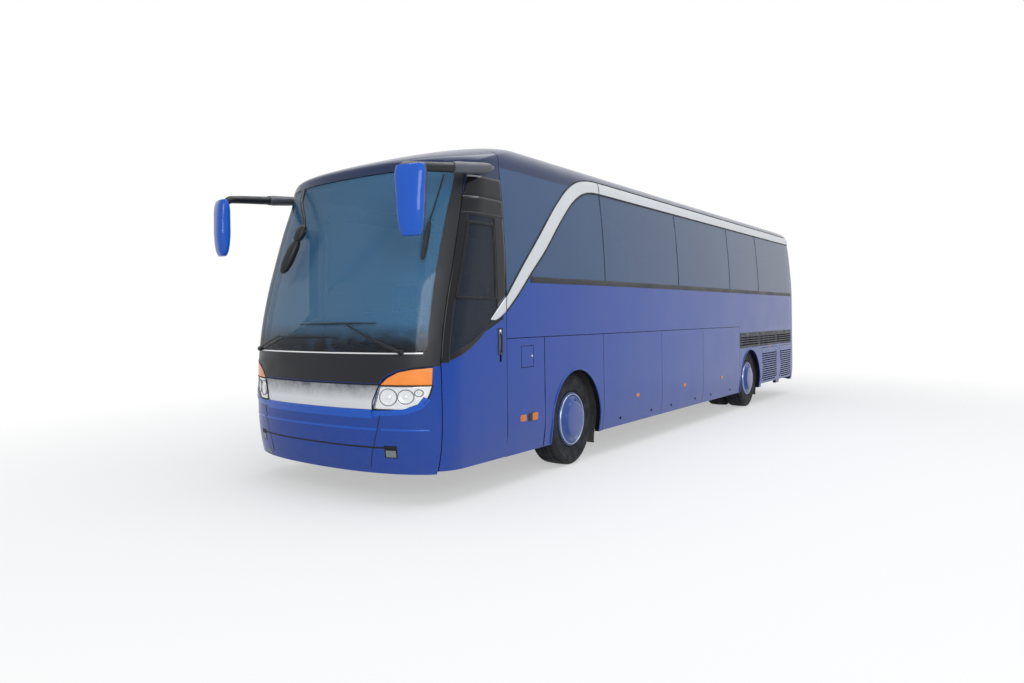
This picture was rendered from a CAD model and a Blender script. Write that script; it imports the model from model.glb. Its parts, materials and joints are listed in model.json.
import json
import math

import bmesh
import bpy
import numpy as np
from mathutils import Matrix, Vector

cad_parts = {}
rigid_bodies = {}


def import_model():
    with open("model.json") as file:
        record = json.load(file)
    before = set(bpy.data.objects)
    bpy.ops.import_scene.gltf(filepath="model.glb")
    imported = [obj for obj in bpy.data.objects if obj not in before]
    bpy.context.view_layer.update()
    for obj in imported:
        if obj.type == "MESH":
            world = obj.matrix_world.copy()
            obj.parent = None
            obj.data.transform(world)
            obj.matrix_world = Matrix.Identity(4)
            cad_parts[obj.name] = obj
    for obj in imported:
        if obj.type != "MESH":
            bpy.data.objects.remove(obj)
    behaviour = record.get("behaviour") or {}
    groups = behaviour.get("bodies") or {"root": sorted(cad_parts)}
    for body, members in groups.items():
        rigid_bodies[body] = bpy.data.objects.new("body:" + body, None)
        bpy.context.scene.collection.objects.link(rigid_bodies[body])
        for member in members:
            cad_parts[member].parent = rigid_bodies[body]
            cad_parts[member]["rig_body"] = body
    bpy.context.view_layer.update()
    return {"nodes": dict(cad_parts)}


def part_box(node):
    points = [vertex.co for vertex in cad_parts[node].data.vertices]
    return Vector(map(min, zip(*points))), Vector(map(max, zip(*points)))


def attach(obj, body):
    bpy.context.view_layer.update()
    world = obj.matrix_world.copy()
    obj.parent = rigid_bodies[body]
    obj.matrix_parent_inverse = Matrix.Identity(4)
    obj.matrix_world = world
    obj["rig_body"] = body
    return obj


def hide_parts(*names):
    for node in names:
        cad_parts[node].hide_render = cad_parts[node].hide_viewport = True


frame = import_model()
nodes = frame["nodes"]

# Body shell: pressed steel and moulded panels over a welded tube frame, parted where the real doors, flaps
# and bumpers part. One smooth body, upright at the sides and rounded at nose, tail and roof, gives every
# panel its normals, so that the clear coat reflects in long unbroken lines across the panel gaps.
HALF_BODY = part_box("left_side_wall")[1].x
AXLE_AT = (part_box("front_tyre_left")[0].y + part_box("front_tyre_left")[1].y) / 2
WHEELBASE = 6.910
NOSE_AT, TAIL_AT = -2.870, 10.150
SKIRT_LOW = 0.20
COVE_AT = 3.130
CROWN_RISE = 0.400
BELT_AT, TUMBLE, TUMBLE_RISE, TUMBLE_POWER = 2.040, 0.075, 1.140, 1.6
TUCK_TOP, TUCK_RISE, SKIRT_TUCK = 0.620, 0.320, 0.030
SCREEN_START, SCREEN_SOFT, SCREEN_SLOPE, NOSE_DATUM = 1.500, 0.220, 0.34, 1.100
CHIN_TOP, CHIN_RISE, CHIN_LEAN = 0.900, 0.600, 0.050
TAIL_LEAN, TAIL_LEAN_START, TAIL_REACH = 0.060, 1.500, 0.260
CAP_REACH, CAP_POWER, CAP_SOFT = 1.900, 1.6, 0.10
NOSE_POWER, NOSE_ROUND = 2.3, 0.670
TAIL_POWER, TAIL_ROUND = 2.8, 0.130
CROWN_POWER = 2.5


def half_width(height):
    """Half the width: upright, leaning in above the belt by a power of the rise, tucked in at the skirt."""
    rise = np.maximum(height - BELT_AT, 0) / TUMBLE_RISE
    tuck = np.clip((TUCK_TOP - height) / TUCK_RISE, 0, 1)
    return HALF_BODY - TUMBLE * rise ** TUMBLE_POWER - SKIRT_TUCK * tuck ** 2


def nose_lean(height):
    """How far the front lies back: a soft bend, the log of one plus exp, into the screen's slope, and below
    it the square of the drop to the chin."""
    reach = SCREEN_SLOPE * SCREEN_SOFT
    bend = reach * np.log1p(np.exp((height - SCREEN_START) / SCREEN_SOFT))
    datum = reach * np.log1p(np.exp((NOSE_DATUM - SCREEN_START) / SCREEN_SOFT))
    return bend - datum + CHIN_LEAN * np.maximum((CHIN_TOP - height) / CHIN_RISE, 0) ** 2


def body_section(height):
    """Half width, nose place, tail place and corner share at a height. Above the cove the crown closes them
    in as a rounded rectangle of power CROWN_POWER, and the nose runs back into the roof."""
    base = np.minimum(height, COVE_AT)
    rise = np.clip((height - COVE_AT) / CROWN_RISE, 0, 1)
    narrow = np.maximum(1 - rise ** CROWN_POWER, 0) ** (1 / CROWN_POWER)
    eased = rise - CAP_SOFT * (1 - np.exp(-rise / CAP_SOFT))
    back = SCREEN_SLOPE * CROWN_RISE * rise + CAP_REACH * (1 - (1 - eased) ** (1 / CAP_POWER))
    lean = TAIL_LEAN * (np.maximum(base - TAIL_LEAN_START, 0) / (COVE_AT - TAIL_LEAN_START)) ** 2
    nose = NOSE_AT + nose_lean(base) + back
    tail = TAIL_AT - lean - TAIL_REACH * (1 - narrow)
    return half_width(base) * narrow, nose, tail, np.sqrt(narrow)


def body_surface(level, column):
    """Points of the body: level 0 to 1 climbs the walls and 1 to 2 the crown by equal turns; column 0 to 1
    rounds the nose, 1 to 2 runs back along one side, 2 to 3 rounds the tail, and 3 to 4 comes forward."""
    turn = np.clip(level - 1, 0, 1) * math.pi / 2
    height = np.where(level < 1, SKIRT_LOW + (COVE_AT - SKIRT_LOW) * level,
                      COVE_AT + CROWN_RISE * np.sin(turn) ** (2 / CROWN_POWER))
    half, nose, tail, share = body_section(height)
    front = np.clip(column, 0, 1) * math.pi
    rear = np.clip(column - 2, 0, 1) * math.pi
    nose_x = np.sign(np.cos(front)) * np.abs(np.cos(front)) ** (2 / NOSE_POWER)
    nose_y = nose + NOSE_ROUND * share * (1 - np.sin(front) ** (2 / NOSE_POWER))
    tail_x = -np.sign(np.cos(rear)) * np.abs(np.cos(rear)) ** (2 / TAIL_POWER)
    tail_y = tail - TAIL_ROUND * share * (1 - np.sin(rear) ** (2 / TAIL_POWER))
    left = np.clip(column - 3, 0, 1)
    right = np.clip(column - 1, 0, 1)
    side_start, side_end = nose + NOSE_ROUND * share, tail - TAIL_ROUND * share
    x = np.where(column <= 1, nose_x, np.where(column < 2, -1.0, np.where(column <= 3, tail_x, 1.0)))
    y = np.where(column <= 1, nose_y,
                 np.where(column < 2, side_start + (side_end - side_start) * right,
                          np.where(column <= 3, tail_y, side_end + (side_start - side_end) * left)))
    return np.stack([half * x, y + AXLE_AT, height], -1)


def grids_object(name, grids, body=None, material=None):
    """One mesh of quads from grids of points, each (rows, columns, 3). A grid given as (points, True) is
    closed across its columns. Faces look to the side of columns crossed with rows."""
    corners, faces, count = [], [], 0
    for grid in grids:
        points, around = grid if isinstance(grid, tuple) else (grid, False)
        rows, columns = points.shape[:2]
        index = np.arange(rows * columns).reshape(rows, columns) + count
        if around:
            index = np.concatenate([index, index[:, :1]], 1)
        faces.append(np.stack([index[:-1, :-1], index[:-1, 1:], index[1:, 1:], index[1:, :-1]],
                              -1).reshape(-1, 4))
        corners.append(points.reshape(-1, 3))
        count += rows * columns
    return mesh_object(name, np.concatenate(corners), np.concatenate(faces), body, material)


def mesh_object(name, corners, faces, body=None, material=None):
    """One smooth mesh from an array of corners and an array of faces that have as many corners each."""
    mesh = bpy.data.meshes.new(name)
    mesh.vertices.add(len(corners))
    mesh.vertices.foreach_set("co", corners.reshape(-1).astype(np.float32))
    mesh.loops.add(faces.size)
    mesh.loops.foreach_set("vertex_index", faces.reshape(-1).astype(np.int32))
    mesh.polygons.add(len(faces))
    mesh.polygons.foreach_set("loop_start", np.arange(0, faces.size, faces.shape[1], dtype=np.int32))
    mesh.polygons.foreach_set("use_smooth", np.ones(len(faces), bool))
    mesh.update(calc_edges=True)
    mesh.validate()
    piece = bpy.data.objects.new(name, mesh)
    bpy.context.scene.collection.objects.link(piece)
    if material:
        mesh.materials.append(material)
    if body:
        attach(piece, body)
    return piece


WALL_ROWS, CROWN_ROWS, CROWN_END = 90, 60, 1.995
NOSE_COLUMNS, SIDE_COLUMNS, TAIL_COLUMNS = 120, 30, 60
LEVELS = np.concatenate([np.linspace(0, 1, WALL_ROWS)[:-1], np.linspace(1, CROWN_END, CROWN_ROWS)])
COLUMNS = np.concatenate([np.linspace(0, 1, NOSE_COLUMNS)[:-1], np.linspace(1, 2, SIDE_COLUMNS)[:-1],
                          np.linspace(2, 3, TAIL_COLUMNS)[:-1], np.linspace(3, 4, SIDE_COLUMNS)[:-1]])
surface = body_surface(*np.meshgrid(LEVELS, COLUMNS, indexing="ij"))
reference = grids_object("body_reference", [(surface[:, ::-1], True)])
ALONG_BODY = 0.80
MERGE, CUT_TOLERANCE, CUT_MARGIN, LONG_PANEL = 0.00002, 0.0005, 0.01, 2.0
PANEL_CREASE = math.radians(35)
HEIGHT_CUTS = np.concatenate([np.arange(0.32, 3.2, 0.08), [TUCK_TOP, BELT_AT, 2.76]])
NOSE_CUTS = AXLE_AT + NOSE_AT + np.arange(0.02, 1.1, 0.06)
ACROSS_CUTS = np.arange(-1.2, 1.21, 0.08)
TAIL_CUTS = AXLE_AT + TAIL_AT - np.arange(0.02, 0.3, 0.04)


def applied(piece):
    """The piece with its modifiers made part of its mesh."""
    seen = piece.evaluated_get(bpy.context.evaluated_depsgraph_get())
    mesh = bpy.data.meshes.new_from_object(seen, preserve_all_data_layers=True,
                                           depsgraph=bpy.context.evaluated_depsgraph_get())
    piece.modifiers.clear()
    piece.data = mesh
    return piece


def merged_copy(name, node):
    """The node's triangles with their doubles merged, as a mesh of its own at the same place."""
    piece = bpy.data.objects.new(name, nodes[node].data.copy())
    piece.data.materials.clear()
    bpy.context.scene.collection.objects.link(piece)
    piece.modifiers.new("weld", "WELD").merge_threshold = MERGE
    return applied(piece)


def sliced(mesh):
    """The mesh's large faces cut at even heights, and near nose and tail at even places too, so that normals
    change evenly across them."""
    build = bmesh.new()
    build.from_mesh(mesh)
    low = np.min([vertex.co for vertex in build.verts], 0)
    high = np.max([vertex.co for vertex in build.verts], 0)
    for axis, places in ((2, HEIGHT_CUTS), (1, NOSE_CUTS), (1, TAIL_CUTS), (0, ACROSS_CUTS)):
        if axis == 0 and high[1] - low[1] > LONG_PANEL:
            continue
        for place in places[(places > low[axis] + CUT_MARGIN) & (places < high[axis] - CUT_MARGIN)]:
            point, normal = Vector((0, 0, 0)), Vector((0, 0, 0))
            point[axis], normal[axis] = place, 1
            bmesh.ops.bisect_plane(build, geom=build.verts[:] + build.edges[:] + build.faces[:],
                                   plane_co=point, plane_no=normal, dist=CUT_TOLERANCE)
    build.to_mesh(mesh)
    build.free()


def face_vectors(mesh, what):
    """The centre or the normal of every face."""
    values = np.empty(len(mesh.polygons) * 3, np.float32)
    mesh.polygons.foreach_get(what, values)
    return values.reshape(-1, 3)


def corner_field(mesh, what):
    """One vector for each face corner: the mesh's own shading normals, or its faces' flat ones."""
    if what == "shading":
        values = np.empty(len(mesh.loops) * 3, np.float32)
        mesh.corner_normals.foreach_get("vector", values)
        return values.reshape(-1, 3)
    sizes = np.empty(len(mesh.polygons), np.int32)
    mesh.polygons.foreach_get("loop_total", sizes)
    return np.repeat(face_vectors(mesh, "normal"), sizes, 0)


def panel(node, outside, inside=None, edge=None, cut=True):
    """A node as a finished panel: corners of faces that lie along the body take the reference's normal. The
    outside, the inside and the edges have materials of their own."""
    piece = merged_copy(node + "_panel", node)
    if cut:
        sliced(piece.data)
    piece.data.set_sharp_from_angle(angle=PANEL_CREASE)
    own = corner_field(piece.data, "shading")
    flat = corner_field(piece.data, "flat")
    probe = bpy.data.objects.new("probe", piece.data.copy())
    bpy.context.scene.collection.objects.link(probe)
    transfer = probe.modifiers.new("normals", "DATA_TRANSFER")
    transfer.object = reference
    transfer.use_loop_data = True
    transfer.data_types_loops = {"CUSTOM_NORMAL"}
    transfer.loop_mapping = "POLYINTERP_NEAREST"
    seen = probe.evaluated_get(bpy.context.evaluated_depsgraph_get())
    body = corner_field(seen.data, "shading").copy()
    bpy.data.objects.remove(probe)
    facing = (body * flat).sum(1)
    normals = np.where((facing > ALONG_BODY)[:, None], body, own)
    piece.data.normals_split_custom_set(normals.tolist())
    starts = np.empty(len(piece.data.polygons), np.int32)
    piece.data.polygons.foreach_get("loop_start", starts)
    choice = np.zeros(len(starts), np.int32)
    piece.data.materials.append(outside)
    if inside:
        piece.data.materials.append(inside)
        choice[facing[starts] < -ALONG_BODY] = 1
    if edge:
        piece.data.materials.append(edge)
        choice[np.abs(facing[starts]) < ALONG_BODY] = len(piece.data.materials) - 1
    piece.data.polygons.foreach_set("material_index", choice)
    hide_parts(node)
    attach(piece, nodes[node]["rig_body"])
    return piece


def noise(tree, place, scale, detail, roughness=0.5):
    """A noise texture of a scale to the metre, read at place."""
    texture = tree.nodes.new("ShaderNodeTexNoise")
    for socket, value in (("Scale", scale), ("Detail", detail), ("Roughness", roughness)):
        texture.inputs[socket].default_value = value
    tree.links.new(place, texture.inputs["Vector"])
    return texture.outputs["Fac"]


def ranged(tree, value, source, target=(0, 1)):
    """The value carried from the source range to the target range."""
    node = tree.nodes.new("ShaderNodeMapRange")
    for socket, limit in zip(("From Min", "From Max", "To Min", "To Max"), (*source, *target)):
        node.inputs[socket].default_value = limit
    tree.links.new(value, node.inputs["Value"])
    return node.outputs["Result"]


def product(tree, first, second):
    """Two sockets multiplied."""
    node = tree.nodes.new("ShaderNodeMath")
    node.operation = "MULTIPLY"
    tree.links.new(first, node.inputs[0])
    tree.links.new(second, node.inputs[1])
    return node.outputs[0]


def blended(tree, factor):
    """A node that mixes its colours A and B by the factor."""
    node = tree.nodes.new("ShaderNodeMix")
    node.data_type = "RGBA"
    tree.links.new(factor, node.inputs["Factor"])
    return node


COARSE_DETAIL, FINE_DETAIL, NOISE_RANGE = 6, 3, (0.3, 0.7)


def finish(name, colour, roughness, grain=300.0, depth=0.0, mottle=2.0, spread=0.08, stretch=(1, 1, 1),
           **sockets):
    """A material with one Principled shader. Fine noise of grain to the metre gives a bump depth metres deep;
    coarse noise of mottle to the metre varies the colour and roughness by the share spread."""
    material = bpy.data.materials.new(name)
    material.use_nodes = True
    tree = material.node_tree
    shader = tree.nodes["Principled BSDF"]
    for socket, value in sockets.items():
        shader.inputs[socket.replace("_", " ")].default_value = value
    place = tree.nodes.new("ShaderNodeTexCoord").outputs["Object"]
    coarse = noise(tree, place, mottle, COARSE_DETAIL)
    tone = blended(tree, coarse)
    tone.inputs["A"].default_value = (*[value * (1 - spread) for value in colour], 1)
    tone.inputs["B"].default_value = (*[min(value * (1 + spread), 1) for value in colour], 1)
    tree.links.new(tone.outputs["Result"], shader.inputs["Base Color"])
    dull = (roughness * (1 - 2 * spread), min(roughness * (1 + 2 * spread), 1))
    tree.links.new(ranged(tree, coarse, NOISE_RANGE, dull), shader.inputs["Roughness"])
    if depth:
        stretched = tree.nodes.new("ShaderNodeMapping")
        stretched.inputs["Scale"].default_value = stretch
        tree.links.new(place, stretched.inputs["Vector"])
        bump = tree.nodes.new("ShaderNodeBump")
        bump.inputs["Distance"].default_value = depth
        tree.links.new(noise(tree, stretched.outputs["Vector"], grain, FINE_DETAIL), bump.inputs["Height"])
        tree.links.new(bump.outputs["Normal"], shader.inputs["Normal"])
    return material


STREAK_SCALE, STREAK_DETAIL, STREAK_ROUGHNESS = 9, 8, 0.65


def dusted(material, dust, top, share, low_at=0.25):
    """Road dust on a finish: noise, strongest at the height low_at and gone at the height top, mixes the
    dust's colour in by the share."""
    tree = material.node_tree
    base = tree.nodes["Principled BSDF"].inputs["Base Color"]
    place = tree.nodes.new("ShaderNodeTexCoord").outputs["Object"]
    parts = tree.nodes.new("ShaderNodeSeparateXYZ")
    tree.links.new(place, parts.inputs[0])
    low = ranged(tree, parts.outputs["Z"], (top, low_at))
    film = product(tree, low, noise(tree, place, STREAK_SCALE, STREAK_DETAIL, STREAK_ROUGHNESS))
    level = tree.nodes.new("ShaderNodeMath")
    level.operation = "MULTIPLY"
    level.inputs[1].default_value = share
    tree.links.new(film, level.inputs[0])
    mix = blended(tree, level.outputs[0])
    mix.inputs["B"].default_value = (*dust, 1)
    tree.links.new(base.links[0].from_socket, mix.inputs["A"])
    tree.links.new(mix.outputs["Result"], base)
    return material


DUST = (0.16, 0.15, 0.14)
coach_blue = dusted(finish("coach_blue", (0.002, 0.046, 0.300), 0.45, mottle=1.5, spread=0.05,
                           grain=160, depth=0.00002, Coat_Weight=0.60, Coat_Roughness=0.02, Coat_IOR=1.42,
                           Specular_IOR_Level=0.08), DUST, 1.15, 0.20)
night_blue = dusted(finish("night_blue", (0.008, 0.022, 0.075), 0.35, mottle=1.5, spread=0.08, grain=160,
                           depth=0.00001, Coat_Weight=0.50, Coat_Roughness=0.03, Coat_IOR=1.40,
                           Specular_IOR_Level=0.10), DUST, 0.6, 0.1)
bright_blue = finish("bright_blue", (0.004, 0.085, 0.480), 0.35, mottle=1.5, spread=0.06, grain=160,
                     depth=0.00002, Coat_Weight=0.7, Coat_Roughness=0.02, Coat_IOR=1.42,
                     Specular_IOR_Level=0.1)
gloss_black = finish("gloss_black", (0.006, 0.007, 0.010), 0.10, mottle=4, spread=0.15, grain=240,
                     depth=0.00001, Specular_IOR_Level=0.25)
seam_black = finish("seam_black", (0.004, 0.005, 0.008), 0.7, mottle=12, spread=0.2, grain=700, depth=0.0002,
                    Specular_IOR_Level=0.1)
pale_lining = finish("pale_lining", (0.26, 0.27, 0.28), 0.85, mottle=6, spread=0.07, grain=900, depth=0.0004)
BLUE_PANELS = ("front_bumper", "rear_wall", "rear_bumper", "engine_lid", "filler_flap", "engine_door_1",
               "engine_door_2", "left_flap_1", "left_flap_2", "left_flap_3", "right_flap_1", "right_flap_2",
               "driver_door", "front_door", "mid_door")
for node in BLUE_PANELS:
    panel(node, coach_blue, pale_lining if "door" in node else seam_black, seam_black)
for node in ("left_side_wall", "right_side_wall"):
    panel(node, coach_blue, pale_lining, seam_black)
for node in ("front_cap", "roof_hatch_1", "roof_hatch_2"):
    panel(node, night_blue, pale_lining, seam_black)
panel("roof", night_blue, pale_lining, seam_black, cut=False)
slat_grey = dusted(finish("slat_grey", (0.020, 0.028, 0.042), 0.50, mottle=8, spread=0.15, grain=500,
                          depth=0.0001, Specular_IOR_Level=0.25), DUST, 1.6, 0.3)
panel("side_louvres", slat_grey, seam_black)

# Bonded glass: large dark tinted panes that meet edge to edge, a paler windscreen, and black print behind
# their edges. The glass is a thin absorbing sheet with a blue film that mirrors the room.
side_glass = finish("side_glass", (0.034, 0.082, 0.185), 0.03, mottle=0.5, spread=0.20, grain=1.8,
                    depth=0.0012, Alpha=0.86, IOR=1.40, Specular_IOR_Level=0.36)
door_glass = finish("door_glass", (0.010, 0.018, 0.034), 0.03, mottle=0.5, spread=0.16, grain=1.8,
                    depth=0.0012, Alpha=0.66, IOR=1.40, Specular_IOR_Level=0.30)
panel("body_glass", side_glass, edge=seam_black)
for node in ("driver_door_glass", "front_door_glass", "mid_door_glass"):
    panel(node, door_glass, edge=seam_black)
FOOT_PRINT, PRINT_LOW, PRINT_TOP, PRINT_SHARE = (0.006, 0.010, 0.020), 1.42, 1.62, 2.2
screen_glass = dusted(finish("screen_glass", (0.075, 0.220, 0.400), 0.02, mottle=0.5, spread=0.18, grain=1.5,
                             depth=0.0010, Alpha=0.40, IOR=1.42, Specular_IOR_Level=0.45),
                      FOOT_PRINT, PRINT_TOP, PRINT_SHARE, PRINT_LOW)
panel("windscreen", screen_glass, edge=seam_black)

# Black mask: the moulded apron under the windscreen and its pillars, satin with a fine grain.
satin_black = finish("satin_black", (0.010, 0.011, 0.015), 0.42, mottle=5, spread=0.10, grain=1400,
                     depth=0.00008, Specular_IOR_Level=0.30)
panel("front_mask", satin_black, edge=seam_black)
bpy.data.objects.remove(reference)

# Trim on the skin: the strips that sweep up from the doors, belt line, window seals, panel seams, lip and
# creases of the bumper. Each is a band laid on the body's own form, a few millimetres proud or in a gap.
LEFT, RIGHT = 1, -1


def superellipse(share, power):
    """What is left of one extent of a rounded form where share of the other is used up."""
    return np.clip(1 - share ** power, 0, 1) ** (1 / power)


def side_x(place, height, side):
    """How far across the skin lies at a place and a height, rounded in towards the nose and the tail."""
    half, nose, tail, share = body_section(height)
    front = np.clip((place - nose) / (NOSE_ROUND * share), 0, 1)
    back = np.clip((tail - place) / (TAIL_ROUND * share), 0, 1)
    return side * half * superellipse(1 - front, NOSE_POWER) * superellipse(1 - back, TAIL_POWER)


def on_side(side):
    """A mapping from place along the body and height to points on that side."""
    return lambda place, height: np.stack([side_x(place, height, side), place + AXLE_AT, height], -1)


def on_front(across, height):
    """Points on the front from their distance across and height."""
    half, nose, _, share = body_section(height)
    back = NOSE_ROUND * share * (1 - superellipse(np.abs(across) / half, NOSE_POWER))
    return np.stack([across, nose + back + AXLE_AT, height], -1)


def on_tail(across, height):
    """Points on the tail from their distance across and height."""
    half, _, tail, share = body_section(height)
    forward = TAIL_ROUND * share * (1 - superellipse(np.abs(across) / half, TAIL_POWER))
    return np.stack([across, tail - forward + AXLE_AT, height], -1)


MIDDLE_HEIGHT, OUTWARD_WEIGHTS, NEARLY_NOTHING = 1.6, (1, 0.3, 0.4), 1e-12


def unit_normals(points):
    """A grid's normals: the cross product of its columns' and rows' directions, at unit length."""
    normal = np.cross(np.gradient(points, axis=1), np.gradient(points, axis=0))
    return normal / (np.linalg.norm(normal, axis=-1, keepdims=True) + NEARLY_NOTHING)


def lifted(points, rise):
    """The grid moved out along its own normals by rise, with its faces turned to look outwards."""
    normal = unit_normals(points)
    middle = np.array([0, (NOSE_AT + TAIL_AT) / 2 + AXLE_AT, MIDDLE_HEIGHT])
    away = (points - middle) * np.array(OUTWARD_WEIGHTS)
    outward = np.sign((normal * away).sum(-1).mean())
    moved = points + outward * normal * np.broadcast_to(rise, points.shape[:2])[..., None]
    return moved if outward > 0 else moved[:, ::-1]


def resampled(path, count):
    """The path through its points as count points at even steps of its length, eased by a moving mean."""
    path = np.asarray(path, float)
    steps = np.concatenate([[0], np.cumsum(np.linalg.norm(np.diff(path, axis=0), axis=1))])
    even = np.linspace(0, steps[-1], count)
    line = np.stack([np.interp(even, steps, path[:, k]) for k in range(path.shape[1])], -1)
    if len(path) > 2:
        for _ in range(max(count // 25, 1)):
            line[1:-1] = (line[:-2] + 2 * line[1:-1] + line[2:]) / 4
    return line


ROUNDED = ((-1, -0.5), (-0.8, 1), (0, 1.15), (0.8, 1), (1, -0.5))
FLAT = ((-1, 1), (0, 1), (1, 1))


def band(path, width, rise, place, count=24, profile=ROUNDED):
    """A band along a path on the skin: the profile gives shares of half its width and of its rise."""
    line = resampled(path, count)
    way = np.gradient(line, axis=0)
    way /= np.linalg.norm(way, axis=1, keepdims=True)
    across = np.stack([-way[:, 1], way[:, 0]], -1)
    shares = np.array(profile)
    flat = line[:, None] + across[:, None] * (shares[:, 0] * width / 2)[None, :, None]
    return lifted(place(flat[..., 0], flat[..., 1]), shares[None, :, 1] * rise)


EDGE_SUNK = -0.0005


def patch(low, top, rise, place, count=24, rows=8):
    """A sheet on the skin between two paths, with its edges turned down to the skin."""
    low, top = resampled(low, count), resampled(top, count)
    share = np.concatenate([[0], np.linspace(0, 1, rows), [1]])[:, None, None]
    flat = low[None] * (1 - share) + top[None] * share
    flat = np.concatenate([flat[:, :1], flat, flat[:, -1:]], 1)
    height = np.full(flat.shape[:2], float(rise))
    height[0] = height[-1] = EDGE_SUNK
    height[:, 0] = height[:, -1] = EDGE_SUNK
    return lifted(place(flat[..., 0], flat[..., 1]), height)


def oblong(first, last, low, top, rise, place, count):
    """A sheet on the skin from first to last across and from low to top in height."""
    return patch([(first, low), (last, low)], [(first, top), (last, top)], rise, place, count)


def mirrored(side, path):
    """A path of the front or tail, put on that side."""
    return [(side * across, height) for across, height in path]


DOOR_FRONT, DOOR_SILL, DOOR_TOP = -2.460, 1.276, 2.785


def door_front(height):
    """Where a front door's leading edge lies along the body: plumb up to its window's sill, and above that
    with the slope of the windscreen."""
    return DOOR_FRONT + max(float(nose_lean(height) - nose_lean(DOOR_SILL)), 0)


def beside_edge(low, top, gap, count=16):
    """A path of places and heights that keeps a gap behind the door's leading edge."""
    return [(door_front(height) + gap, height) for height in np.linspace(low, top, count)]


STRIP_OUTER = [(-1.463, 1.865), (-1.175, 2.154), (-0.791, 2.487), (-0.405, 2.833), (-0.05, 3.091),
               (0.25, 3.216), (0.633, 3.258), (0.9, 3.262)]
STRIP_INNER = [(-1.463, 1.716), (-1.269, 1.851), (-0.962, 2.12), (-0.671, 2.336), (-0.339, 2.639),
               (0.021, 2.927), (0.325, 3.070), (0.565, 3.112), (0.8, 3.12)]
TAIL_SEAM = 9.920
STRIP_LIFT, TRIM_CREASE = 0.0045, math.radians(40)
DIVIDERS = (0.782, 3.263, 5.710, 7.460)
silver = finish("silver", (0.62, 0.65, 0.68), 0.34, mottle=3, spread=0.05, grain=700, depth=0.00003,
                stretch=(1, 0.04, 1), Metallic=0.70)
TARNISH, TARNISH_START, TARNISH_FULL, TARNISH_SHARE, BAND_TOP = (0.07, 0.08, 0.10), 0.92, 1.055, 1.5, 1.2
tarnished = dusted(finish("tarnished", (0.62, 0.64, 0.66), 0.36, mottle=3, spread=0.06, grain=700,
                          depth=0.00003, stretch=(0.04, 1, 1), Metallic=0.70),
                   TARNISH, TARNISH_START, TARNISH_SHARE, TARNISH_FULL)
seal_black = finish("seal_black", (0.010, 0.011, 0.013), 0.55, mottle=9, spread=0.12, grain=800, depth=0.0001,
                    Specular_IOR_Level=0.2)
belt_dark = finish("belt_dark", (0.016, 0.018, 0.024), 0.45, mottle=2, spread=0.10, grain=600, depth=0.00004,
                   Specular_IOR_Level=0.25)
trim = merged_copy("silver_trim_finish", "silver_trim")
trim.data.set_sharp_from_angle(angle=TRIM_CREASE)
for material in (silver, tarnished):
    trim.data.materials.append(material)
low_faces = face_vectors(trim.data, "center")[:, 2] < BAND_TOP
trim.data.polygons.foreach_set("material_index", low_faces.astype(np.int32))
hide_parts("silver_trim")
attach(trim, "root")
FLAP_SEAMS = (0.715, 2.576, 4.294, 6.218)
OUTER_SEAL, INNER_SEAL, BREAK_SEAL = (0.016, 0.0055), (0.022, 0.0050), (0.005, 0.0052)
DIVIDER_SEAL, BELT_BAND, BUMPER_GAP = (0.012, 0.0012), (0.062, 0.0022), (0.006, 0.0008)
FLAP_GAP, HINGE_GAP, DOOR_GAP = (0.030, -0.008), (0.026, -0.008), (0.030, -0.010)
TIP_LOW = [(-1.752, 1.634), (-1.672, 1.630), (-1.60, 1.652), (-1.479, 1.714)]
TIP_TOP = [(-1.750, 1.640), (-1.66, 1.712), (-1.57, 1.782), (-1.479, 1.852)]
BELT_LINE = [(-0.99, 2.035), (0.78, 2.048), (3.26, 2.058), (9.90, 2.068)]
black_lines, belts, gap_seals = [], [], []
for side in (LEFT, RIGHT):
    skin = on_side(side)
    black_lines.append(band(STRIP_OUTER[:-1] + [(TAIL_SEAM, 3.264)], *OUTER_SEAL, skin, 160))
    black_lines.append(band(STRIP_INNER[:-1] + [(TAIL_SEAM, 3.116)], *INNER_SEAL, skin, 160))
    black_lines.append(band([(0.78, 3.12), (0.78, 3.262)], *BREAK_SEAL, skin, 12))
    for place in DIVIDERS:
        black_lines.append(band([(place, 2.05), (place, 3.11)], *DIVIDER_SEAL, skin, 20))
    belts.append(band(BELT_LINE, *BELT_BAND, skin, 120))
    for place in FLAP_SEAMS:
        gap_seals.append(band([(place, 0.31), (place, 1.45)], *FLAP_GAP, skin, 30, FLAT))
    gap_seals.append(band([(-1.46, 1.454), (6.21, 1.454)], *HINGE_GAP, skin, 90, FLAT))
    gap_seals.append(band([(-1.4675, 0.31), (-1.4675, 2.78)], *DOOR_GAP, skin, 60, FLAT))
    gap_seals.append(band(beside_edge(0.31, DOOR_TOP, -0.0025, 40), *DOOR_GAP, skin, 80, FLAT))
    gap_seals.append(band([(-0.72, 0.32), (-0.72, 1.445)], *BUMPER_GAP, skin, 30))
    door = "driver_door" if side == LEFT else "front_door"
    grids_object(door + "_strip_tip", [patch(TIP_LOW, TIP_TOP, STRIP_LIFT, skin)], door, silver)
grids_object("window_seals", black_lines, "root", seal_black)
grids_object("belt_band", belts, "root", belt_dark)
grids_object("gap_seals", gap_seals, "root", seam_black)

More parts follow.
